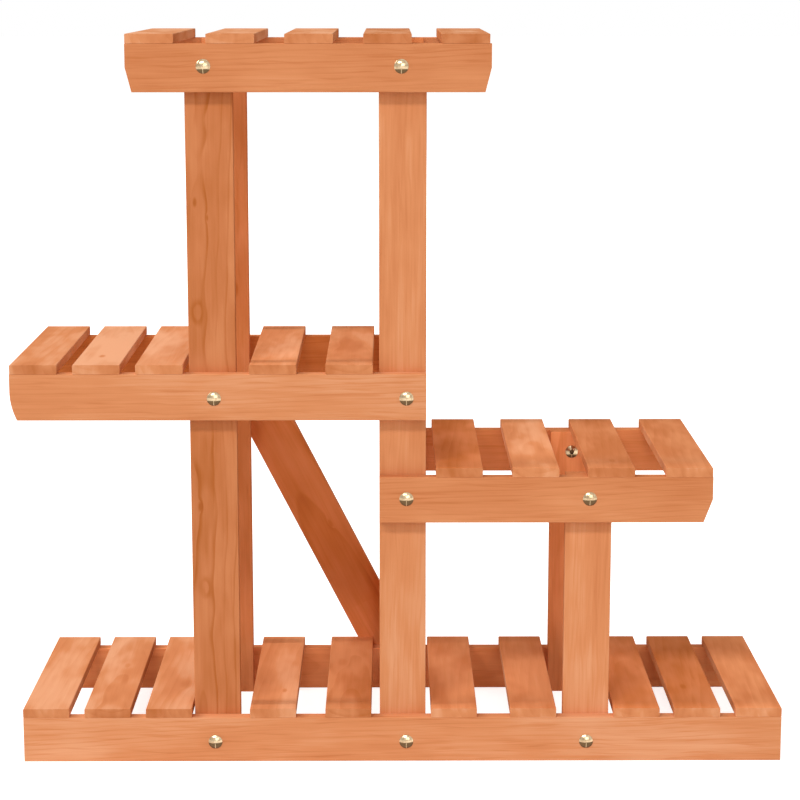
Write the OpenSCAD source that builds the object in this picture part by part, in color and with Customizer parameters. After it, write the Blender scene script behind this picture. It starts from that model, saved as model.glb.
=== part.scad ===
// Tiered plant stand of flat stained boards. Four slatted shelves are bolted to three pairs of
// posts, and one diagonal brace stiffens the back.
// X runs along the shelves, Y from the front to the back, and Z up from the floor. The origin is on
// the floor, under the middle of the whole stand.

/* [Boards] */
// Depth of the stand from front to back, which is the length of every slat
depth = 250; // [180:5:400]
// Width of the posts
post_w = 50; // [40:1:60]
// Thickness of the posts
post_t = 13; // [11:0.5:20]
// Height of the rails
rail_h = 50; // [45:1:60]
// Thickness of the rails
rail_t = 13; // [10:0.5:20]
// Width of the slats
slat_w = 50; // [35:1:54]
// Thickness of the slats
slat_t = 10; // [8:0.5:18]
// Radius of the eased edges along every board
edge_r = 1; // [0.5:0.1:2]

/* [Posts] */
// Distance from the middle posts to the left posts, centre to centre
left_span = 202; // [180:1:300]
// Distance from the middle posts to the right posts, centre to centre
right_span = 200; // [180:1:300]

/* [Shelf heights] */
// Height of the right shelf's rails above the floor
right_shelf_z = 268; // [180:1:310]
// Height of the left shelf's rails above the floor
left_shelf_z = 380; // [330:1:500]
// Height of the top shelf's rails above the floor
top_shelf_z = 726; // [600:1:900]

/* [Shelf lengths] */
// How far the base runs past the left posts
base_left_reach = 185.5; // [165:0.5:240]
// How far the base runs past the right posts
base_right_reach = 187.5; // [165:0.5:240]
// How far the left shelf runs past the left posts
left_shelf_reach = 189; // [165:0.5:240]
// How far the right shelf runs past the right posts
right_shelf_reach = 106.5; // [60:0.5:160]
// How far the top shelf runs past the left posts
top_left_reach = 59.5; // [30:0.5:120]
// How far the top shelf runs past the middle posts
top_right_reach = 66.8; // [30:0.1:120]

/* [Rail ends] */
// Height of the slanted cuts at the rail ends of the top and right shelves
end_cut_h = 25.5; // [10:0.5:35]
// How far the cuts lean in under the top shelf
top_cut_w = 6.5; // [3:0.5:15]
// How far the cut leans in under the right shelf
right_cut_w = 9.5; // [3:0.5:15]
// Height of the rounded corner under the left shelf
left_arc_h = 31.5; // [15:0.5:40]
// How far the rounded corner curves in under the left shelf
left_arc_w = 7.4; // [4:0.1:12]

/* [Brace] */
// Width of the diagonal brace
brace_w = 54; // [40:1:60]
// Thickness of the diagonal brace
brace_t = 13; // [10:0.5:20]
// How far the brace's upper end passes to the right of its bolt
brace_head_shift = 2.5; // [0:0.5:8]
// How far the brace's lower end passes to the left of its bolt
brace_foot_shift = 7; // [0:0.5:10]
// Distance of the brace's level ends inside the rails that it is bolted to
brace_end_inset = 3; // [1:0.5:8]

/* [Bolts] */
// Shank diameter of the dome head bolts
bolt_d = 6; // [4:0.5:7]
// Diameter of the dome heads
head_d = 15; // [11:0.5:18]
// Height of the dome heads
head_h = 3.6; // [2:0.1:5]
// Height of the straight rim under a dome
rim_h = 0.5; // [0.2:0.1:1]
// Length of the square neck under a dome head
neck_h = 4; // [2:0.1:6]
// Distance from the bolt's tip to the inner face of the post
tip_gap = 4; // [3:0.5:6]

/* [Sleeve nuts] */
// Diameter of the sleeve nuts' flanges
flange_d = 14.5; // [11:0.5:18]
// Height of the flanges
flange_h = 2.2; // [1.6:0.1:3]
// Diameter of the barrels
barrel_d = 8.8; // [8.2:0.1:10]
// Distance from a barrel's mouth to the outer face of its post
mouth_gap = 2; // [1:0.5:3]
// Width of the hexagon socket across its flats
socket_w = 5; // [3:0.5:6]
// Depth of the hexagon socket
socket_h = 3; // [2:0.1:3]
// Thickness of the metal between the socket and the bore
nut_web = 1.2; // [0.6:0.1:1.5]

/* [Brads] */
// Diameter of the headless brads that hold the slats
brad_d = 1.6; // [1:0.1:2.5]
// Length of a brad inside the rail
brad_grip = 16; // [8:0.5:18]
// Depth of the filled hole above a brad
brad_cover = 1; // [0.5:0.1:2]

/* [Clearances] */
// Gap all round the bolts, necks and barrels in their holes
bolt_fit = 0.25; // [0.1:0.05:0.5]
// Gap all round the bolts in the sleeve nuts
thread_fit = 0.05; // [0.02:0.01:0.1]
// Gap all round the brads in their holes
brad_fit = 0.1; // [0.05:0.05:0.2]

/* [Hidden] */
$fn = 48;
cut = 1; // overrun of the cuts past the faces that they open
wood = [0.86, 0.56, 0.37];
metal = [0.82, 0.80, 0.74];

// Places of the posts, as the centre of each across X. The middle posts stand at zero.
left_post_x = -left_span;
right_post_x = right_span;
inner_face = rail_t + post_t; // depth of the posts' inner faces behind the rails' outer faces

// Ends of the rails across X
base_x0 = left_post_x - post_w / 2 - base_left_reach;
base_x1 = right_post_x + post_w / 2 + base_right_reach;
right_x0 = -post_w / 2;
right_x1 = right_post_x + post_w / 2 + right_shelf_reach;
left_x0 = left_post_x - post_w / 2 - left_shelf_reach;
left_x1 = post_w / 2;
top_x0 = left_post_x - post_w / 2 - top_left_reach;
top_x1 = post_w / 2 + top_right_reach;

// Middle of the whole stand, bolt heads and brace included
mid_x = (min(base_x0, left_x0, top_x0) + max(base_x1, right_x1, top_x1)) / 2;
mid_y = (depth + brace_t) / 2;

// Gaps before, between and after the slats of each bay, as shares of the room that the slats leave
base_outer_left_shares = [0, 0.47, 0.47, 0.06];
base_inner_left_shares = [0.21, 0.615, 0.175];
base_inner_right_shares = [0.115, 0.725, 0.16];
base_outer_right_shares = [0.125, 0.425, 0.45, 0];
left_outer_shares = [0.01, 0.425, 0.425, 0.14];
left_inner_shares = [0.28, 0.59, 0.13];
right_shares = [0.098, 0.296, 0.29, 0.312, 0.004];
top_shares = [0.002, 0.26, 0.241, 0.243, 0.24, 0.014];

// Left edge of each slat, shelf by shelf
base_slats = concat(
    bay(base_x0, left_post_x - post_w / 2, base_outer_left_shares),
    bay(left_post_x + post_w / 2, -post_w / 2, base_inner_left_shares),
    bay(post_w / 2, right_post_x - post_w / 2, base_inner_right_shares),
    bay(right_post_x + post_w / 2, base_x1, base_outer_right_shares)
);
left_slats = concat(
    bay(left_x0, left_post_x - post_w / 2, left_outer_shares),
    bay(left_post_x + post_w / 2, -post_w / 2, left_inner_shares)
);
right_slats = bay(post_w / 2, right_x1, right_shares);
top_slats = bay(top_x0, top_x1, top_shares);

// Places of the bolts: how far across its post each one stands, and how far up its rail, as shares
base_bolt_shares = [0.462, 0.578, 0.497];
right_bolt_shares = [0.578, 0.498];
left_bolt_shares = [0.542, 0.578];
top_bolt_shares = [0.424, 0.47];
base_rail_share = 0.45;
right_rail_share = 0.525;
left_rail_share = 0.475;
top_rail_share = 0.535;

// Centre of each bolt across X and up Z, shelf by shelf from the left
base_bolts = [
    bolt_place(left_post_x, base_bolt_shares[0], 0, base_rail_share),
    bolt_place(0, base_bolt_shares[1], 0, base_rail_share),
    bolt_place(right_post_x, base_bolt_shares[2], 0, base_rail_share)
];
right_bolts = [
    bolt_place(0, right_bolt_shares[0], right_shelf_z, right_rail_share),
    bolt_place(right_post_x, right_bolt_shares[1], right_shelf_z, right_rail_share)
];
left_bolts = [
    bolt_place(left_post_x, left_bolt_shares[0], left_shelf_z, left_rail_share),
    bolt_place(0, left_bolt_shares[1], left_shelf_z, left_rail_share)
];
top_bolts = [
    bolt_place(left_post_x, top_bolt_shares[0], top_shelf_z, top_rail_share),
    bolt_place(0, top_bolt_shares[1], top_shelf_z, top_rail_share)
];
brace_bolts = [left_bolts[0], base_bolts[1]];

// Brace: its centre line runs from the head point to the foot point
brace_head = brace_bolts[0] + [brace_head_shift, 0];
brace_foot = brace_bolts[1] - [brace_foot_shift, 0];
brace_run = brace_head - brace_foot;
brace_lean = atan2(-brace_run[0], brace_run[1]);
brace_top_z = left_shelf_z + rail_h - brace_end_inset;
brace_bottom_z = brace_end_inset;

// Sleeve nut: lengths measured from the post's inner face
barrel_h = post_t - mouth_gap;
bore_end = socket_h - flange_h + nut_web;

// Slat brads: two at each end of a slat, a quarter of its width in from its edges
brad_inset = slat_w / 4;
brad_h = brad_grip + slat_t - brad_cover;

function sum_to(list, n) = n < 0 ? 0 : list[n] + sum_to(list, n - 1);

function bay(x0, x1, gap_shares) = [
    for (i = [0 : len(gap_shares) - 2])
        x0 + i * slat_w + sum_to(gap_shares, i) * (x1 - x0 - (len(gap_shares) - 1) * slat_w)
];

function bolt_place(post_x, across_share, shelf_z, up_share) =
    [post_x - post_w / 2 + across_share * post_w, shelf_z + up_share * rail_h];

function numbered(stem, list) = [for (i = [1 : len(list)]) str(stem, i)];

// Moves a piece from the front left corner of the stand to the origin under its middle
module placed() {
    translate([-mid_x, -mid_y, 0]) children();
}

// Turns a front piece into its partner at the back
module at_back() {
    translate([0, depth, 0]) mirror([0, 1, 0]) children();
}

// Stands a shape that is drawn up Z along Y, at a bolt's place and a distance behind the front
module along_y(place, y) {
    translate([place[0], y, place[1]]) rotate([-90, 0, 0]) children();
}

// Section of a planed board with eased edges, centred
module board_section(w, t) {
    square([w - 2 * edge_r, t], center = true);
    square([w, t - 2 * edge_r], center = true);
    for (side = [-1, 1], face = [-1, 1])
        translate([side * (w / 2 - edge_r), face * (t / 2 - edge_r)]) circle(edge_r);
}

// Low dome over a straight rim, as on the bolt heads and the nut flanges
module dome(d, h) {
    rise = h - rim_h;
    ball_r = (d * d / 4 + rise * rise) / (2 * rise);
    intersection() {
        cylinder(d = d, h = h);
        translate([0, 0, h - ball_r]) sphere(ball_r);
    }
}

// Blind hole for a brad, upwards from a slat's underside or downwards into a rail
module brad_holes(slat_x) {
    for (x = [slat_x + brad_inset, slat_x + slat_w - brad_inset], y = [rail_t / 2, depth - rail_t / 2])
        translate([x, y, -brad_grip - brad_fit]) cylinder(d = brad_d + 2 * brad_fit, h = brad_h + 2 * brad_fit);
}

// Post behind the front rails, with a hole for the barrel of each sleeve nut
module post(x, h, places) {
    color(wood) difference() {
        translate([x, rail_t + post_t / 2, 0]) linear_extrude(h) board_section(post_w, post_t);
        for (place = places)
            along_y(place, rail_t - cut) cylinder(d = barrel_d + 2 * bolt_fit, h = post_t + 2 * cut);
    }
}

// Hole for a bolt's shank and, on the outermost board, the square pocket for its neck
module bolt_passage(place, thickness, necked) {
    shank_w = bolt_d + 2 * bolt_fit;
    pocket_h = neck_h + bolt_fit + cut;
    along_y(place, -cut) cylinder(d = shank_w, h = thickness + 2 * cut);
    if (necked) along_y(place, pocket_h / 2 - cut) cube([shank_w, shank_w, pocket_h], center = true);
}

// Slanted cut under the left end of a rail, drawn from the end's lower corner
module slanted_cut(cut_w) {
    slope = cut_w / end_cut_h;
    translate([0, rail_t + cut, 0]) rotate([90, 0, 0]) linear_extrude(rail_t + 2 * cut)
        polygon([[-cut, end_cut_h], [0, end_cut_h], [cut_w + slope * cut, -cut], [-cut, -cut]]);
}

// Rounded cut under the left end of a rail, which runs smoothly into the upright part of the end
module rounded_cut() {
    arc_r = (left_arc_h * left_arc_h + left_arc_w * left_arc_w) / (2 * left_arc_w);
    translate([0, rail_t + cut, 0]) rotate([90, 0, 0]) linear_extrude(rail_t + 2 * cut) difference() {
        translate([-cut, -cut]) square([left_arc_w + 2 * cut, left_arc_h + cut]);
        translate([arc_r, left_arc_h]) circle(arc_r);
    }
}

// Moves a cut from the origin to the left end, or turned over to the right end, of a rail
module at_left_end(x) {
    translate([x, 0, 0]) children();
}
module at_right_end(x) {
    translate([x, 0, 0]) mirror([1, 0, 0]) children();
}

// Front rail on edge, with holes for its bolts and for the brads of its slats. The children are the
// cuts at its ends. At the bolt numbered braced the neck sits in the brace and not in the rail.
module rail(x0, x1, z, places, slats, braced = -1) {
    color(wood) difference() {
        translate([x0, rail_t / 2, z + rail_h / 2]) rotate([90, 0, 90])
            linear_extrude(x1 - x0) board_section(rail_t, rail_h);
        for (i = [0 : len(places) - 1]) bolt_passage(places[i], rail_t, i != braced);
        for (slat_x = slats) translate([0, 0, z + rail_h]) brad_holes(slat_x);
        translate([0, 0, z]) children();
    }
}

module base_rail(braced) {
    rail(base_x0, base_x1, 0, base_bolts, base_slats, braced);
}
module right_rail() {
    rail(right_x0, right_x1, right_shelf_z, right_bolts, right_slats)
        at_right_end(right_x1) slanted_cut(right_cut_w);
}
module left_rail(braced) {
    rail(left_x0, left_x1, left_shelf_z, left_bolts, left_slats, braced)
        at_left_end(left_x0) rounded_cut();
}
module top_rail() {
    rail(top_x0, top_x1, top_shelf_z, top_bolts, top_slats) {
        at_left_end(top_x0) slanted_cut(top_cut_w);
        at_right_end(top_x1) slanted_cut(top_cut_w);
    }
}

// Slat laid across the two rails of a shelf, given its left edge and the rails' underside
module slat(x, shelf_z) {
    placed() color(wood) translate([0, 0, shelf_z + rail_h]) difference() {
        translate([x + slat_w / 2, depth, slat_t / 2]) rotate([90, 0, 0])
            linear_extrude(depth) board_section(slat_w, slat_t);
        brad_holes(x);
    }
}

// Inclined board on the back of the left shelf's and the base's back rails, with level ends
module diagonal_brace() {
    board_h = norm(brace_run) + 2 * rail_h + 2 * brace_w;
    placed() color(wood) translate([0, depth, 0]) difference() {
        intersection() {
            translate([brace_foot[0], brace_t / 2, brace_foot[1]]) rotate([0, -brace_lean, 0])
                translate([0, 0, (norm(brace_run) - board_h) / 2])
                    linear_extrude(board_h) board_section(brace_w, brace_t);
            translate([base_x0, -cut, brace_bottom_z])
                cube([base_x1 - base_x0, brace_t + 2 * cut, brace_top_z - brace_bottom_z]);
        }
        translate([0, brace_t, 0]) mirror([0, 1, 0])
            for (place = brace_bolts) bolt_passage(place, brace_t, true);
    }
}

// Dome head bolt with a square neck, its head's seat at the origin and its shank up Z
module bolt(shank_h) {
    color(metal) {
        mirror([0, 0, 1]) dome(head_d, head_h);
        translate([0, 0, neck_h / 2]) cube([bolt_d, bolt_d, neck_h], center = true);
        cylinder(d = bolt_d, h = shank_h);
    }
}

// Sleeve nut with its flange's seat at the origin and its barrel down Z
module sleeve_nut() {
    color(metal) difference() {
        union() {
            dome(flange_d, flange_h);
            translate([0, 0, -barrel_h]) cylinder(d = barrel_d, h = barrel_h);
        }
        translate([0, 0, flange_h - socket_h])
            cylinder(d = socket_w / cos(30), h = socket_h + cut, $fn = 6);
        translate([0, 0, -barrel_h - cut])
            cylinder(d = bolt_d + 2 * thread_fit, h = barrel_h + cut - bore_end);
    }
}

// Bolts of one shelf, front and back. The one numbered braced at the back is left to the brace.
module shelf_bolts(places, braced = -1) {
    placed() {
        for (place = places) along_y(place, 0) bolt(inner_face - tip_gap);
        at_back() for (i = [0 : len(places) - 1])
            if (i != braced) along_y(places[i], 0) bolt(inner_face - tip_gap);
    }
}

// Longer bolts that pass through the brace, a back rail and a back post
module brace_bolts() {
    placed() at_back() for (place = brace_bolts)
        along_y(place, -brace_t) bolt(brace_t + inner_face - tip_gap);
}

// Sleeve nuts of one shelf, front and back
module shelf_nuts(places) {
    placed() {
        for (place = places) along_y(place, inner_face) sleeve_nut();
        at_back() for (place = places) along_y(place, inner_face) sleeve_nut();
    }
}

// Brads of one shelf, hidden in its slats and rails
module shelf_brads(slats, shelf_z) {
    placed() color(metal) for (slat_x = slats)
        translate([slat_x, 0, shelf_z + rail_h - brad_grip])
            for (x = [brad_inset, slat_w - brad_inset], y = [rail_t / 2, depth - rail_t / 2])
                translate([x, y, 0]) cylinder(d = brad_d, h = brad_h);
}

// Posts: the pair at the left and the pair in the middle carry the top shelf's slats, and the pair at
// the right ends under the right shelf's
module left_post() {
    post(left_post_x, top_shelf_z + rail_h, [base_bolts[0], left_bolts[0], top_bolts[0]]);
}
module middle_post() {
    post(0, top_shelf_z + rail_h, [base_bolts[1], right_bolts[0], left_bolts[1], top_bolts[1]]);
}
module right_post() {
    post(right_post_x, right_shelf_z + rail_h, [base_bolts[2], right_bolts[1]]);
}

placed() left_post();  // front_left_post
placed() middle_post();  // front_middle_post
placed() right_post();  // front_right_post
placed() at_back() left_post();  // back_left_post
placed() at_back() middle_post();  // back_middle_post
placed() at_back() right_post();  // back_right_post
placed() base_rail();  // base_front_rail
placed() at_back() base_rail(braced = 1);  // base_back_rail
placed() right_rail();  // right_front_rail
placed() at_back() right_rail();  // right_back_rail
placed() left_rail();  // left_front_rail
placed() at_back() left_rail(braced = 0);  // left_back_rail
placed() top_rail();  // top_front_rail
placed() at_back() top_rail();  // top_back_rail
diagonal_brace();
for (i = [1 : len(base_slats)])
    slat(base_slats[i - 1], 0);
for (i = [1 : len(right_slats)])
    slat(right_slats[i - 1], right_shelf_z);
for (i = [1 : len(left_slats)])
    slat(left_slats[i - 1], left_shelf_z);
for (i = [1 : len(top_slats)])
    slat(top_slats[i - 1], top_shelf_z);
shelf_bolts(base_bolts, braced = 1);
shelf_bolts(right_bolts);
shelf_bolts(left_bolts, braced = 0);
shelf_bolts(top_bolts);
brace_bolts();
shelf_nuts(base_bolts);  // base_sleeve_nuts
shelf_nuts(right_bolts);  // right_sleeve_nuts
shelf_nuts(left_bolts);  // left_sleeve_nuts
shelf_nuts(top_bolts);  // top_sleeve_nuts
shelf_brads(base_slats, 0);  // base_brads
shelf_brads(right_slats, right_shelf_z);  // right_brads
shelf_brads(left_slats, left_shelf_z);  // left_brads
shelf_brads(top_slats, top_shelf_z);  // top_brads
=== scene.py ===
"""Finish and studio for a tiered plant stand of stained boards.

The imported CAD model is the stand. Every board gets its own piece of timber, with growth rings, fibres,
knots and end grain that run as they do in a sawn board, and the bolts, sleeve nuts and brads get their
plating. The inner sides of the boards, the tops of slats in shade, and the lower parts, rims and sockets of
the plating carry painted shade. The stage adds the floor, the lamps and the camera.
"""

import math
from collections import namedtuple

import bpy
from bpy.props import FloatProperty, FloatVectorProperty, PointerProperty
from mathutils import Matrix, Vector


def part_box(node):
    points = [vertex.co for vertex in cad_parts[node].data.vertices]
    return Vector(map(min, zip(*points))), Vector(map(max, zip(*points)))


bl_info = {
    "name": "Tiered plant stand",
    "version": (1, 0, 0),
    "blender": (4, 5, 0),
    "location": "View3D > Sidebar > Plant stand",
    "description": "Stains the boards, plates the bolts and sets up the studio of a tiered plant stand",
    "category": "Object",
}

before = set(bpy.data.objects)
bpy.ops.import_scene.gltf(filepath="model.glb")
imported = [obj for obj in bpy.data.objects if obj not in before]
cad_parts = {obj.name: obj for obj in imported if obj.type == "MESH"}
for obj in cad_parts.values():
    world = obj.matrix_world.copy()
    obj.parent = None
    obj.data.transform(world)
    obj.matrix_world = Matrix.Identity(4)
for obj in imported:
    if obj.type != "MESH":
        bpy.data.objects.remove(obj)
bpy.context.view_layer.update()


def screen_colour(red, green, blue):
    """The linear colour that a screen shows as these 0 to 255 values."""
    levels = (red / 255, green / 255, blue / 255)
    return tuple(v / 12.92 if v <= 0.04045 else ((v + 0.055) / 1.055) ** 2.4 for v in levels)


# ---------------------------------------------------------------- sizes and colours


class StainSettings(bpy.types.PropertyGroup):
    """The stain, from its deepest to its palest tone, and how the timber takes it"""

    darkest: FloatVectorProperty(
        name="Darkest", description="Stain in knots and late wood of the deepest boards",
        subtype="COLOR", min=0, max=1, default=screen_colour(150, 65, 21))
    # Painted shade: the inner sides of the boards and the tops of slats in shade take their deeper stain
    # from this part of the ramp, in place of their shade
    deep: FloatVectorProperty(
        name="Deep", description="Stain on the inner faces, where it was not wiped",
        subtype="COLOR", min=0, max=1, default=screen_colour(191, 109, 56))
    middle: FloatVectorProperty(
        name="Middle", description="Stain on the darker boards",
        subtype="COLOR", min=0, max=1, default=screen_colour(211, 130, 82))
    pale: FloatVectorProperty(
        name="Pale", description="Stain on most outer faces",
        subtype="COLOR", min=0, max=1, default=screen_colour(227, 149, 100))
    palest: FloatVectorProperty(
        name="Palest", description="Stain on the palest sapwood",
        subtype="COLOR", min=0, max=1, default=screen_colour(245, 180, 138))
    end_depth: FloatProperty(
        name="End grain", description="How much deeper the stain soaks into the sawn ends",
        subtype="FACTOR", min=0, max=1, default=0.10)
    blotch: FloatProperty(
        name="Blotches", description="How unevenly the stain was taken up",
        subtype="FACTOR", min=0, max=1, default=0.16)
    drift: FloatProperty(
        name="Drift", description="How much the stain changes from one end of a board to the other",
        subtype="FACTOR", min=0, max=1, default=0.08)
    fibre: FloatProperty(
        name="Fibres", description="How strongly the fibres show",
        subtype="FACTOR", min=0, max=1, default=0.10)
    edge_wear: FloatProperty(
        name="Edge wear", description="How much paler the stain is where the edges were rubbed",
        subtype="FACTOR", min=0, max=1, default=0.05)
    edge_width: FloatProperty(
        name="Edge width", description="How far the rubbing reaches from the edges",
        unit="LENGTH", min=0, max=0.01, default=0.0016)
    roughness: FloatProperty(
        name="Roughness", description="Satin finish of the stained wood",
        subtype="FACTOR", min=0, max=1, default=0.5)
    relief: FloatProperty(
        name="Relief", description="Depth of the raised grain",
        unit="LENGTH", min=0, max=0.001, default=0.00012)


class PlatingSettings(bpy.types.PropertyGroup):
    """The metal of the bolts, sleeve nuts and brads"""

    nickel: FloatVectorProperty(
        name="Nickel", description="Plating of the bolts and sleeve nuts",
        subtype="COLOR", min=0, max=1, default=screen_colour(188, 160, 124))
    # Painted shade: the colour of the dark reflection of the ground painted on the lower parts of the bolt
    # heads and sleeve nuts, and of the shade painted on their rims, their left sides and in the nuts'
    # sockets
    painted_shade: FloatVectorProperty(
        name="Tarnish", description="Plating underneath, where it was never polished",
        subtype="COLOR", min=0, max=1, default=screen_colour(98, 78, 54))
    glare: FloatVectorProperty(
        name="Glare", description="Plating where it is brightest",
        subtype="COLOR", min=0, max=1, default=screen_colour(221, 197, 160))
    wire: FloatVectorProperty(
        name="Wire", description="Drawn wire of the brads",
        subtype="COLOR", min=0, max=1, default=screen_colour(158, 158, 158))
    polish: FloatProperty(
        name="Polish", description="Roughness of the polished heads",
        subtype="FACTOR", min=0, max=1, default=0.2)


class StudioSettings(bpy.types.PropertyGroup):
    """Floor, lamps and camera"""

    floor_size: FloatProperty(
        name="Floor", description="Width of the floor", unit="LENGTH", min=2, max=200, default=60)
    floor_colour: FloatVectorProperty(
        name="Floor colour", description="Paint of the floor",
        subtype="COLOR", min=0, max=1, default=(0.8, 0.8, 0.8))
    backdrop_lift: FloatProperty(
        name="Floor lift", description="Brightness that the floor adds where it is seen",
        min=0, max=1, default=0.76)
    surroundings: FloatProperty(
        name="Surroundings", description="Light from all round", min=0, max=2, default=0.355)
    surroundings_tint: FloatVectorProperty(
        name="Surroundings tint",
        description="Colour of the light from all round, as if warm walls sent it back",
        subtype="COLOR", min=0, max=1, default=(1.0, 0.93, 0.86))
    key_power: FloatProperty(
        name="Key lamp", description="Power of the wide lamp high at the front left",
        unit="POWER", min=0, max=5000, default=296)
    key_size: FloatVectorProperty(
        name="Key size", description="Width and height of the key lamp",
        unit="LENGTH", size=2, min=0.01, max=10, default=(5.2, 0.9))
    fill_power: FloatProperty(
        name="Fill lamp", description="Power of the soft lamp at the front right",
        unit="POWER", min=0, max=5000, default=114)
    fill_size: FloatVectorProperty(
        name="Fill size", description="Width and height of the fill lamp",
        unit="LENGTH", size=2, min=0.01, max=10, default=(4.8, 3.6))
    side_power: FloatProperty(
        name="Side lamp", description="Power of the upright strip lamp at the left",
        unit="POWER", min=0, max=5000, default=340)
    side_size: FloatVectorProperty(
        name="Side size", description="Width and height of the strip lamp",
        unit="LENGTH", size=2, min=0.01, max=10, default=(0.62, 3.6))
    back_power: FloatProperty(
        name="Back lamp", description="Power of the soft lamp behind",
        unit="POWER", min=0, max=5000, default=148)
    back_size: FloatVectorProperty(
        name="Back size", description="Width and height of the lamp behind",
        unit="LENGTH", size=2, min=0.01, max=10, default=(5.0, 2.4))
    camera_place: FloatVectorProperty(
        name="Camera", description="Place of the camera", unit="LENGTH", default=(-0.0118, -2.2645, 0.8382))
    camera_down: FloatProperty(
        name="Camera tilt", description="How far the camera looks down",
        unit="ROTATION", default=math.radians(9.77))
    camera_right: FloatProperty(
        name="Camera turn", description="How far the camera looks to the right",
        unit="ROTATION", default=math.radians(0.285))
    camera_lens: FloatProperty(
        name="Lens", description="Focal length of the camera in millimetres",
        unit="CAMERA", min=1, max=500, default=92.5)
    camera_shift: FloatProperty(
        name="Shift", description="How far the lens is shifted up, as a share of the picture",
        min=-1, max=1, default=-0.08)


# ---------------------------------------------------------------- shader building


class Reading:
    """A shader socket in a Python expression. Each operation adds the Math node that works it out."""

    def __init__(self, finish, socket):
        self.finish = finish
        self.socket = socket

    def out(self, name):
        """Another output of the same node."""
        return Reading(self.finish, self.socket.node.outputs[name])

    def math(self, operation, *values):
        return self.finish.add("ShaderNodeMath", {"operation": operation}, dict(enumerate(values)))

    def __add__(self, other):
        return self.math("ADD", self, other)

    def __sub__(self, other):
        return self.math("SUBTRACT", self, other)

    def __rsub__(self, other):
        return self.math("SUBTRACT", other, self)

    def __mul__(self, other):
        return self.math("MULTIPLY", self, other)

    def __truediv__(self, other):
        return self.math("DIVIDE", self, other)

    def __rtruediv__(self, other):
        return self.math("DIVIDE", other, self)

    def __pow__(self, other):
        return self.math("POWER", self, other)

    def __rpow__(self, other):
        return self.math("POWER", other, self)

    def __abs__(self):
        return self.math("ABSOLUTE", self)

    __radd__ = __add__
    __rmul__ = __mul__

    def lower(self, other):
        return self.math("MINIMUM", self, other)

    def higher(self, other):
        return self.math("MAXIMUM", self, other)

    def step(self, low, high):
        """0 below low, 1 above high and a smooth change between them."""
        return self.finish.add(
            "ShaderNodeMapRange", {"interpolation_type": "SMOOTHSTEP"},
            {"Value": self, "From Min": low, "From Max": high})


# The Mix node's colour sockets, which share their names with those of its other kinds
MIX_FIRST, MIX_SECOND, MIX_RESULT = 6, 7, 2


class Finish:
    """The nodes of one material, or of the world."""

    def __init__(self, owner):
        owner.use_nodes = True
        self.owner = owner
        self.tree = owner.node_tree
        self.tree.nodes.clear()

    def add(self, kind, settings=None, inputs=None, output=0):
        """Adds a node and gives one of its outputs.

        Its settings come first, then the values or links of its sockets.
        """
        node = self.tree.nodes.new(kind)
        for name, value in (settings or {}).items():
            if name == "stops":
                ramp = node.color_ramp.elements
                while len(ramp) < len(value):
                    ramp.new(0.5)
                for stop, (position, colour) in zip(ramp, value):
                    stop.position = position
                    stop.color = (*colour, 1)
            else:
                setattr(node, name, value)
        for name, value in (inputs or {}).items():
            if isinstance(value, Reading):
                self.tree.links.new(value.socket, node.inputs[name])
            else:
                node.inputs[name].default_value = value
        return Reading(self, node.outputs[output]) if node.outputs else None

    def vector(self, x, y, z):
        return self.add("ShaderNodeCombineXYZ", None, {"X": x, "Y": y, "Z": z})

    def scaled(self, vector, factor):
        return self.add("ShaderNodeVectorMath", {"operation": "SCALE"}, {0: vector, "Scale": factor})

    def dot(self, vector, direction):
        return self.add(
            "ShaderNodeVectorMath", {"operation": "DOT_PRODUCT"}, {0: vector, 1: direction}, "Value")

    def noise(self, vector, detail=2.0, roughness=0.5):
        """Noise from 0 to 1 with features about one unit of the vector in size."""
        return self.add("ShaderNodeTexNoise", None,
                        {"Vector": vector, "Scale": 1.0, "Detail": detail, "Roughness": roughness})

    def blend(self, share, first, second):
        """A colour that goes from first to second."""
        sockets = {0: share}
        for socket, colour in ((MIX_FIRST, first), (MIX_SECOND, second)):
            sockets[socket] = colour if isinstance(colour, Reading) else (*colour, 1)
        return self.add("ShaderNodeMix", {"data_type": "RGBA"}, sockets, MIX_RESULT)

    def bump(self, strength, distance, height):
        return self.add(
            "ShaderNodeBump", None, {"Strength": strength, "Distance": distance, "Height": height})

    def seen(self):
        """1 on what the camera sees, also in metal and through glass, and 0 for all other light."""
        ray = self.add("ShaderNodeLightPath", None, None, "Is Camera Ray")
        return ray.higher(ray.out("Is Glossy Ray")).higher(ray.out("Is Transmission Ray"))

    def surface(self, **sockets):
        """The Principled surface, with its sockets given by name."""
        names = {
            name.replace("_", " ").title().replace("Ior", "IOR"): value for name, value in sockets.items()}
        shader = self.add("ShaderNodeBsdfPrincipled", None, names)
        self.add("ShaderNodeOutputMaterial", None, {"Surface": shader})
        return self.owner


# ---------------------------------------------------------------- timber

# A knot sits at (along, across) from the middle of its board, and size is its radius, in metres. depth is
# how much deeper the stain is there.
Knot = namedtuple("Knot", "along across size depth")

# How a board was cut from its log. pith is how far the log's centre lies from the middle of the board,
# across its width and through its thickness. lean is how far that centre drifts per metre of length.
# spacing is the width of a ring, line the share of it that is late wood, and rings how dark that is.
# wave is how far the rings wander. clouds, fibres and dashes are how strongly the blotches, the fibres and
# the dark pores show.
Cut = namedtuple("Cut", "pith lean spacing line rings wave clouds fibres dashes")

QUARTER = Cut(
    pith=(0.16, 0.03), lean=(0.05, 0.01), spacing=0.0052, line=0.5, rings=0.035, wave=0.006,
    clouds=0.6, fibres=1.0, dashes=0.05)
PLAIN = Cut(
    pith=(0.004, 0.045), lean=(0.012, 0.05), spacing=0.0075, line=0.5, rings=0.09, wave=0.014,
    clouds=0.8, fibres=1.0, dashes=0.05)

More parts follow.
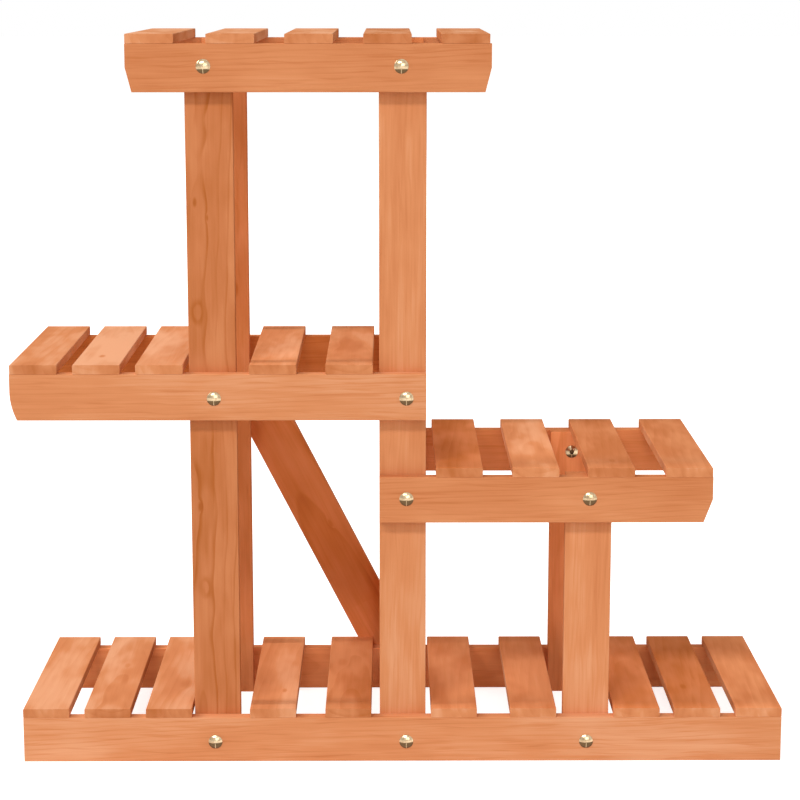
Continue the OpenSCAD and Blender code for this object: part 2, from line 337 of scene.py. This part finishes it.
# One board. body and face are each how pale the stain is, from 0 to 1, and how pale the wood is under it.
# face holds on the side that looks the way given to timber(), and body on all others. The face values also
# hold
# painted shade: the inner sides of the posts, rails and brace, and the tops of slats in shade under the
# shelves above, have a deeper, more saturated stain than their boards' other sides. seed is where in the
# patterns of the wood the board lies.
Board = namedtuple("Board", "body face cut seed knots", defaults=((),))

X, Y, Z = Vector((1, 0, 0)), Vector((0, 1, 0)), Vector((0, 0, 1))

# How fine each pattern of the wood is, in patches per metre along the board, across it and through it
WANDER = (3.1, 9, 9)        # the log's centre moves sideways
SWAY = (7, 12, 12)          # the rings wave
FADING = (13, 55, 55)       # late wood comes and goes
FIBRES = (14, 620, 620)
STREAKS = (7, 170, 170)
BLOTCHES = (11, 30, 30)
PORES = (17, 330, 330)
SAW_MARKS = (95, 24)        # on the sawn ends, across and through

WANDER_REACH = 0.022        # metres
PORE_SWAY = 6               # how far the pores follow the rings' waves
LATE_WOOD_END = 0.92        # as a share of a ring, which starts pale again after it
PALEST_YEAR = 0.35          # how dark the late wood of the palest year is, next to the darkest

# A knot is longer than wide, and bends the rings by a share of its size
KNOT_LENGTH = 2.4
KNOT_BEND = 0.8


def timber(name, settings, directions, board, facing):
    """The material of one board, from the log that it was sawn from.

    directions are those of its length, width and thickness. Its face looks the way that facing gives.
    """
    low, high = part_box(name)
    middle = (low + high) / 2
    size = [max(abs(direction.dot(corner - middle)) for corner in (low, high)) for direction in directions]
    cut, seed = board.cut, board.seed

    wood = Finish(bpy.data.materials.new(name + "_wood"))
    place = wood.add("ShaderNodeTexCoord", None, None, "Object")
    normal = place.out("Normal")
    local = wood.add("ShaderNodeVectorMath", {"operation": "SUBTRACT"}, {0: place, 1: middle})
    along, across, through = (wood.dot(local, direction) for direction in directions)

    def pattern(fineness, starts, detail, roughness=0.5):
        """Noise over the board. starts are where in the pattern the board lies."""
        scaled = [value * patches for value, patches in zip((along, across, through), fineness)]
        return wood.noise(
            wood.vector(*(value + start if start else value for value, start in zip(scaled, starts))),
            detail, roughness)

    # Knots bend the rings round them
    bulge, heart = 0.0, 0.0
    for knot in board.knots:
        distance = (((along - knot.along) / (KNOT_LENGTH * knot.size)) ** 2
                    + ((across - knot.across) / knot.size) ** 2)
        swell = 1 / (1 + distance * distance)
        bulge = swell * (KNOT_BEND * knot.size) + bulge
        heart = swell ** 3 * knot.depth + heart

    # Growth rings round the log's centre
    wander = pattern(WANDER, (seed, 0, seed), 1.0)
    sway = pattern(SWAY, (seed, 0, -seed), 2.0)
    from_pith = across - cut.pith[0] - along * cut.lean[0] + (wander - 0.5) * WANDER_REACH
    from_face = through - cut.pith[1] - along * cut.lean[1] + (sway - 0.5) * cut.wave
    radius = (from_pith * from_pith + from_face * from_face) ** 0.5 + bulge
    ring = radius / cut.spacing
    year = wood.add("ShaderNodeTexWhiteNoise", {"noise_dimensions": "1D"},
                    {"W": ring.math("FLOOR", ring + seed)}, "Value")
    growth = ring.math("FRACT", ring + seed)
    fading = pattern(FADING, (seed, 0, 0), 1.0)
    late_wood = (growth.step(LATE_WOOD_END - cut.line, LATE_WOOD_END)
                 * (1 - growth.step(LATE_WOOD_END + 0.01, 1.0))
                 * (PALEST_YEAR + (1 - PALEST_YEAR) * year) * fading.step(0.25, 0.6))

    # Fibres and stain
    fine = pattern(FIBRES, (0, seed, 0), 2.0, 0.6)
    streak = pattern(STREAKS, (seed, 0, 0), 3.0, 0.6)
    blotch = pattern(BLOTCHES, (-seed, 0, seed), 2.0).step(0.33, 0.67)
    pores = pattern(PORES, (seed, sway * PORE_SWAY, -seed), 1.0).step(0.54, 0.74)
    sawn = wood.noise(wood.vector(across * SAW_MARKS[0] + seed, through * SAW_MARKS[1], seed), 2.0)
    fibre = (fine * 0.3 + streak * 0.7 - 0.5) * cut.fibres - pores * (cut.dashes * 3)

    # Where the surface is a sawn end, the board's face or a rubbed edge
    end = abs(wood.dot(normal, directions[0])).step(0.6, 0.8)
    face = wood.dot(normal, facing).step(0.3, 0.8)
    # On the face, the tone and paleness hold painted shade where that side lies in shade
    tone, paleness_and_shade = (body + face * (other - body) for body, other in zip(board.body, board.face))
    gaps = [length - abs(value) for length, value in zip(size, (along, across, through))]
    edge = gaps[0].lower(gaps[1]).higher(gaps[0].higher(gaps[1]).lower(gaps[2]))
    rubbed = (1 - edge.step(0.0, settings.edge_width)) * streak.step(0.35, 0.7)

    fibre_shown = 1 - end * 0.6
    stain = (tone + (blotch - 0.5) * (settings.blotch * cut.clouds)
             + (wander.step(0.3, 0.7) - 0.5) * settings.drift
             + fibre * fibre_shown * (settings.fibre * 3) - late_wood * cut.rings - heart
             + rubbed * settings.edge_wear - end * (settings.end_depth + 0.3 * (0.5 - sawn)))

    colour = wood.add("ShaderNodeValToRGB", {"stops": (
        (0.0, settings.darkest), (0.42, settings.deep), (0.635, settings.middle),
        (0.80, settings.pale), (1.0, settings.palest))}, {"Fac": stain})
    colour = wood.scaled(colour, paleness_and_shade)
    roughness = settings.roughness - fibre * 0.25 + end * 0.12 - rubbed * 0.06 + heart * 0.1
    height = fine * 0.35 + streak * 0.35 - late_wood * 0.5 - heart
    return wood.surface(
        base_color=colour, roughness=roughness, specular_ior_level=0.0,
        normal=wood.bump(0.35, settings.relief, height),
        coat_weight=(0.01 + rubbed * 0.02) * (1 - end), coat_roughness=0.4)


# How fine the patterns of the metals are, in patches per metre
PLATING_CLOUDS = 420
POLISHING = (900, 90, 2400)
DRAWING = (2600, 2600, 60)

# How far from the stand's middle plane the sleeve nuts' sockets end, in metres; the sockets' floors beyond
# it get painted shade
SOCKET_END = (0.0990, 0.0994)


def nickel(name, settings, seed, turned=0.17, socketed=False):
    """Polished plating with faint clouds.

    Painted shade darkens it where it turns down by more than turned, as a painted dark reflection of the
    ground, less along a thin upright line down its middle, a painted reflection of a strip. It is also
    darkened towards its rim and on its left, which dims the highlight on its upper left, and where
    socketed, on upright walls and inside the sockets.
    """
    plate = Finish(bpy.data.materials.new(name))
    place = plate.add("ShaderNodeTexCoord", None, None, "Object")
    normal = place.out("Normal")
    cloud = plate.noise(plate.scaled(place, PLATING_CLOUDS), 3.0)
    strokes = plate.add(
        "ShaderNodeMapping", None, {"Vector": place, "Location": (seed, 0, seed), "Scale": POLISHING})
    spin = plate.noise(strokes, 2.0, 0.7)
    # Painted dark reflection of the ground on the parts that turn down, lifted along a thin upright line
    # down the middle as a painted reflection of a strip
    under = (0 - plate.dot(normal, Z) + (cloud - 0.5) * 0.12).step(turned - 0.05, turned + 0.05)
    painted_strip_reflection = 1 - abs(plate.dot(normal, X)).step(0.01, 0.06)
    flatness = abs(plate.dot(normal, Y))
    # Painted shade towards the rim and on the left side, which dims the highlight on the upper left
    crown = flatness * 0.88 + plate.dot(normal, (0.36, 0, 0.30))
    painted_shade_mask = (under * (1 - painted_strip_reflection * 0.7)).higher((1 - crown.step(0.70, 0.98)) * 0.35)
    if socketed:
        # Painted shade on upright walls, such as the sockets' sides and the domes' rims, and on the sockets'
        # floors
        low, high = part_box("base_slat_1")
        depth = abs(plate.dot(place, Y) - (low.y + high.y) / 2)
        painted_shade_mask = painted_shade_mask.higher(1 - flatness.step(0.12, 0.3)).higher(depth.step(*SOCKET_END))
    clean = plate.blend(cloud.step(0.3, 0.7), settings.nickel, settings.glare)
    return plate.surface(
        base_color=plate.blend(painted_shade_mask, clean, settings.painted_shade), metallic=1.0,
        roughness=settings.polish + painted_shade_mask * 0.1 + (spin - 0.5) * 0.08,
        normal=plate.bump(0.06, 0.00005, spin))


def drawn_wire(name, settings):
    """Bright wire with the marks of the die along it."""
    wire = Finish(bpy.data.materials.new(name))
    place = wire.add("ShaderNodeTexCoord", None, None, "Object")
    marks = wire.noise(wire.add("ShaderNodeMapping", None, {"Vector": place, "Scale": DRAWING}), 2.0, 0.7)
    shade = wire.blend(marks.step(0.35, 0.65), [0.55 * level for level in settings.wire], settings.wire)
    return wire.surface(
        base_color=shade, metallic=1.0, roughness=0.3 + marks * 0.15, normal=wire.bump(0.1, 0.00004, marks))


def dress(name, material):
    """Gives a piece of the stand its material."""
    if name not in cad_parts:
        raise RuntimeError(f"the frame has no piece named {name}")
    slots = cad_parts[name].material_slots
    if not slots:
        raise RuntimeError(f"{name} has no material slot")
    for slot in slots:
        slot.material = material


# ---------------------------------------------------------------- operators


class PLANT_STAND_OT_posts(bpy.types.Operator):
    """Give the three pairs of posts their timber"""
    bl_idname = "plant_stand.posts"
    bl_label = "Posts"

    def execute(self, context):
        stain = context.scene.plant_stand_stain
        figured = Cut(
            pith=(-0.014, 0.009), lean=(0.006, 0.004), spacing=0.0095, line=0.22, rings=0.22, wave=0.030,
            clouds=1.0, fibres=0.8, dashes=0.03)
        posts = {
            "front_left_post": Board((0.635, 0.853), (0.495, 1.0), figured, 100.9, (
                Knot(0.106, -0.015, 0.006, 0.04), Knot(-0.197, -0.0125, 0.006, 0.04),
                Knot(0.223, -0.016, 0.0026, 0.25), Knot(0.2065, -0.0034, 0.0018, 0.2),
                Knot(-0.105, -0.015, 0.003, 0.25))),
            "front_middle_post": Board((0.805, 0.883), (0.675, 1.0), QUARTER, 28.6),
            "front_right_post": Board((0.825, 0.92), (0.66, 1.0), QUARTER, 24.1),
            "back_left_post": Board(
                (0.76, 1.0), (0.59, 1.066), PLAIN, 160.9, (Knot(0.1, 0.01, 0.004, 0.2),)),
            "back_middle_post": Board((0.76, 1.0), (0.55, 1.153), QUARTER, 21.1),
            "back_right_post": Board((0.76, 1.0), (0.665, 1.285), PLAIN, 94.6),
        }
        # The face is each post's side towards the stand's middle, and its deeper stain is painted shade
        for name, board in posts.items():
            dress(name, timber(name, stain, (Z, X, Y), board, Y if "front" in name else -Y))
        return {"FINISHED"}


class PLANT_STAND_OT_rails(bpy.types.Operator):
    """Give the front and back rails of the four shelves their timber"""
    bl_idname = "plant_stand.rails"
    bl_label = "Rails"

    def execute(self, context):
        stain = context.scene.plant_stand_stain
        streaked = Cut(
            pith=(0.10, 0.05), lean=(0.03, 0.02), spacing=0.0047, line=0.32, rings=0.085, wave=0.008,
            clouds=0.4, fibres=1.0, dashes=0.09)
        rails = {
            "base_front_rail": Board((0.845, 0.9), (0.7, 1.0), streaked, 130.9),
            "right_front_rail": Board((0.75, 0.888), (0.58, 1.0), streaked, 8.8),
            "left_front_rail": Board((0.785, 0.866), (0.675, 1.0), streaked, 68.5),
            "top_front_rail": Board((0.75, 0.854), (0.585, 1.0), streaked, 219.4),
            "base_back_rail": Board((0.74, 1.0), (0.7, 1.362), PLAIN, 81.7),
            "right_back_rail": Board((0.74, 1.0), (0.595, 1.092), streaked, 73.3),
            "left_back_rail": Board((0.74, 1.0), (0.41, 1.109), streaked, 211.9),
            "top_back_rail": Board((0.74, 1.0), (0.74, 0.853), streaked, 87.4),
        }
        # The face is each rail's side towards the stand's middle, and its deeper stain is painted shade
        for name, board in rails.items():
            dress(name, timber(name, stain, (X, Z, Y), board, Y if "front" in name else -Y))
        return {"FINISHED"}


# The radius of a bolt's head, and how far the brace's middle line misses the bolts, in metres
HEAD_RADIUS = 0.0075
BRACE_MISS = 0.0095


class PLANT_STAND_OT_brace(bpy.types.Operator):
    """Give the diagonal brace its timber, with the grain along its slant"""
    bl_idname = "plant_stand.brace"
    bl_label = "Brace"

    def execute(self, context):
        stain = context.scene.plant_stand_stain
        low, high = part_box("brace_bolts")
        rise = high - low
        lean = math.atan2(rise.x - 2 * HEAD_RADIUS - BRACE_MISS, rise.z - 2 * HEAD_RADIUS)
        length = Vector((-math.sin(lean), 0, math.cos(lean)))
        width = Vector((math.cos(lean), 0, math.sin(lean)))
        broad = Cut(
            pith=(-0.006, 0.030), lean=(0.010, 0.060), spacing=0.0140, line=0.30, rings=0.16, wave=0.010,
            clouds=0.8, fibres=0.8, dashes=0.03)
        board = Board((0.74, 1.0), (0.49, 1.202), broad, 5.2, (Knot(-0.02, 0.008, 0.003, 0.12),))
        # The face is the brace's side towards the front, and its deeper stain is painted shade
        dress("diagonal_brace", timber("diagonal_brace", stain, (length, width, Y), board, -Y))
        return {"FINISHED"}


class PLANT_STAND_OT_slats(bpy.types.Operator):
    """Give the slats of the four shelves their timber"""
    bl_idname = "plant_stand.slats"
    bl_label = "Slats"

    def execute(self, context):
        stain = context.scene.plant_stand_stain
        flowing = PLAIN._replace(clouds=1.3, fibres=0.5, dashes=0.02)
        quiet = Cut(
            pith=(0.08, 0.04), lean=(0.06, 0.05), spacing=0.0088, line=0.75, rings=0.06, wave=0.016,
            clouds=1.1, fibres=0.5, dashes=0.02)
        # Tone and paleness of the body, then of the top. The tops of the slats in shade under the shelves
        # above have a deeper, more saturated stain, which is painted shade.
        shelves = {
            "base": (
                (0.835, 0.852, 0.855, 0.869), (0.785, 0.839, 0.845, 0.85), (0.72, 0.847, 0.845, 0.859),
                (0.855, 0.867, 0.78, 0.928), (0.76, 0.854, 0.67, 0.937), (0.9, 0.904, 0.715, 1.038),
                (0.93, 0.886, 0.725, 1.011), (0.86, 0.918, 0.57, 1.2), (0.855, 0.889, 0.53, 1.137),
                (0.885, 0.93, 0.725, 1.142),
            ),
            "right": (
                (0.725, 0.861, 0.53, 1.164), (0.925, 0.9, 0.815, 1.034), (0.74, 0.875, 0.67, 0.982),
                (0.87, 0.895, 0.705, 1.013),
            ),
            "left": (
                (0.87, 0.823, 0.855, 0.851), (0.86, 0.85, 0.995, 0.849), (0.91, 0.878, 0.91, 0.872),
                (0.795, 0.86, 0.845, 0.929), (0.735, 0.863, 0.73, 0.88),
            ),
            "top": (
                (0.86, 0.863, 0.92, 0.807), (0.95, 0.843, 0.93, 0.823), (0.79, 0.854, 0.89, 0.817),
                (0.675, 0.848, 0.825, 0.753), (0.76, 0.829, 0.915, 0.785),
            ),
        }
        knots = {
            "base_slat_2": (Knot(0.02, 0.004, 0.004, 0.10),),
            "base_slat_3": (Knot(-0.045, 0.012, 0.008, 0.09),),
            "base_slat_4": (Knot(-0.066, 0.010, 0.003, 0.20),),
            "base_slat_5": (Knot(0.030, -0.010, 0.007, 0.08),),
            "left_slat_2": (Knot(-0.072, 0.000, 0.004, 0.25),),
            "right_slat_3": (Knot(-0.090, 0.004, 0.004, 0.12),),
            "base_slat_9": (Knot(-0.055, -0.006, 0.004, 0.12),),
        }
        # Where in the patterns each slat lies
        seeds = {
            "base": (119.5, 53.8, 199.0, 138.7, 167.2, 29.2, 211.3, 64.3, 145.0, 133.6),
            "right": (193.6, 207.7, 96.1, 229.9),
            "left": (221.5, 143.5, 116.5, 82.6, 43.3),
            "top": (226.0, 233.3, 240.6, 247.9, 255.2),
        }
        for shelf, slats in shelves.items():
            for number, (tones, seed) in enumerate(zip(slats, seeds[shelf]), 1):
                name = f"{shelf}_slat_{number}"
                cut = flowing if number % 3 == 2 else quiet
                board = Board(tones[:2], tones[2:], cut, seed, knots.get(name, ()))
                dress(name, timber(name, stain, (Y, X, Z), board, Z))
        return {"FINISHED"}


class PLANT_STAND_OT_bolts(bpy.types.Operator):
    """Plate the dome head bolts"""
    bl_idname = "plant_stand.bolts"
    bl_label = "Bolts"

    def execute(self, context):
        plating = context.scene.plant_stand_plating
        # How far each group's heads turn down before the painted dark reflection of the ground starts on
        # them
        turns = {"base": 0.03, "right": 0.08, "left": 0.17, "top": 0.26, "brace": 0.17}
        for seed, (group, turned) in enumerate(turns.items()):
            dress(group + "_bolts", nickel(group + "_bolt_nickel", plating, 3.0 * seed, turned))
        return {"FINISHED"}


class PLANT_STAND_OT_sleeve_nuts(bpy.types.Operator):
    """Plate the sleeve nuts inside the posts"""
    bl_idname = "plant_stand.sleeve_nuts"
    bl_label = "Sleeve nuts"

    def execute(self, context):
        plating = context.scene.plant_stand_plating
        for seed, shelf in enumerate(("base", "right", "left", "top")):
            dress(shelf + "_sleeve_nuts",
                  nickel(shelf + "_nut_nickel", plating, 20 + 3.0 * seed, socketed=True))
        return {"FINISHED"}


class PLANT_STAND_OT_brads(bpy.types.Operator):
    """Finish the headless brads under the slats"""
    bl_idname = "plant_stand.brads"
    bl_label = "Brads"

    def execute(self, context):
        plating = context.scene.plant_stand_plating
        for shelf in ("base", "right", "left", "top"):
            dress(shelf + "_brads", drawn_wire(shelf + "_brad_wire", plating))
        return {"FINISHED"}


LAMP_PLACES = {
    "key": (-2.60, -4.86, 5.85),
    "fill": (2.06, -6.34, 3.05),
    "side": (-6.60, -0.34, 5.90),
    "back": (0.60, 7.20, 3.00),
}
AIM_HEIGHT = 0.35


class PLANT_STAND_OT_stage(bpy.types.Operator):
    """Set up the floor, the surroundings, the lamps and the camera"""
    bl_idname = "plant_stand.stage"
    bl_label = "Studio"

    def execute(self, context):
        studio = context.scene.plant_stand_studio
        context.scene.view_settings.view_transform = "Standard"
        self.floor(context, studio)
        self.surroundings(context, studio)
        for name, place in LAMP_PLACES.items():
            # The key lamp lies parallel to the rails, and the others look at the stand's middle
            aim = (place[0] if name == "key" else 0, 0, AIM_HEIGHT)
            self.lamp(context, name + "_lamp", Vector(place), Vector(aim),
                      getattr(studio, name + "_power"), getattr(studio, name + "_size"))
        self.camera(context, studio)
        return {"FINISHED"}

    def floor(self, context, studio):
        half = studio.floor_size / 2
        mesh = bpy.data.meshes.new("floor")
        corners = [(-half, -half, 0), (half, -half, 0), (half, half, 0), (-half, half, 0)]
        mesh.from_pydata(corners, [], [(0, 1, 2, 3)])
        plane = bpy.data.objects.new("floor", mesh)
        context.scene.collection.objects.link(plane)
        paint = Finish(bpy.data.materials.new("floor_paint"))
        place = paint.add("ShaderNodeTexCoord", None, None, "Object")
        speckle = paint.noise(paint.scaled(place, 9), 3.0)
        colour = paint.blend(speckle, [0.98 * level for level in studio.floor_colour], studio.floor_colour)
        mesh.materials.append(paint.surface(
            base_color=colour, roughness=0.9, emission_color=paint.blend(paint.seen(), (0, 0, 0), (1, 1, 1)),
            emission_strength=studio.backdrop_lift))

    def surroundings(self, context, studio):
        world = bpy.data.worlds.new("surroundings")
        context.scene.world = world
        air = Finish(world)
        seen = air.seen()
        level = air.add(
            "ShaderNodeMapRange", None, {"Value": seen, "To Min": studio.surroundings, "To Max": 1.0})
        tint = air.blend(seen, studio.surroundings_tint, (1, 1, 1))
        light = air.add("ShaderNodeBackground", None, {"Color": tint, "Strength": level})
        air.add("ShaderNodeOutputWorld", None, {"Surface": light})

    def lamp(self, context, name, place, aim, power, size):
        light = bpy.data.lights.new(name, "AREA")
        light.shape = "RECTANGLE"
        light.size, light.size_y = size
        light.energy = power
        lamp = bpy.data.objects.new(name, light)
        lamp.location = place
        lamp.rotation_euler = (aim - place).to_track_quat("-Z", "Y").to_euler()
        context.scene.collection.objects.link(lamp)

    def camera(self, context, studio):
        lens = bpy.data.cameras.new("camera")
        lens.lens = studio.camera_lens
        lens.sensor_width = 36
        lens.shift_y = studio.camera_shift
        lens.clip_start = 0.05
        camera = bpy.data.objects.new("camera", lens)
        camera.location = studio.camera_place
        camera.rotation_euler = (math.pi / 2 - studio.camera_down, 0, -studio.camera_right)
        context.scene.collection.objects.link(camera)
        context.scene.camera = camera


class PLANT_STAND_PT_panel(bpy.types.Panel):
    """Lists the steps that finish the stand"""
    bl_idname = "PLANT_STAND_PT_panel"
    bl_label = "Plant stand"
    bl_space_type = "VIEW_3D"
    bl_region_type = "UI"
    bl_category = "Plant stand"

    def draw(self, context):
        for step in STEPS:
            self.layout.operator(step.bl_idname)


STEPS = (
    PLANT_STAND_OT_posts,
    PLANT_STAND_OT_rails,
    PLANT_STAND_OT_brace,
    PLANT_STAND_OT_slats,
    PLANT_STAND_OT_bolts,
    PLANT_STAND_OT_sleeve_nuts,
    PLANT_STAND_OT_brads,
    PLANT_STAND_OT_stage,
)
SETTINGS = {
    "plant_stand_stain": StainSettings,
    "plant_stand_plating": PlatingSettings,
    "plant_stand_studio": StudioSettings,
}


def register():
    for item in (*SETTINGS.values(), *STEPS, PLANT_STAND_PT_panel):
        bpy.utils.register_class(item)
    for name, group in SETTINGS.items():
        setattr(bpy.types.Scene, name, PointerProperty(type=group))


def unregister():
    for name in SETTINGS:
        delattr(bpy.types.Scene, name)
    for item in reversed((*SETTINGS.values(), *STEPS, PLANT_STAND_PT_panel)):
        bpy.utils.unregister_class(item)


def main():
    register()
    for step in STEPS:
        getattr(bpy.ops.plant_stand, step.bl_idname.split(".")[1])()


if __name__ == "__main__":
    main()
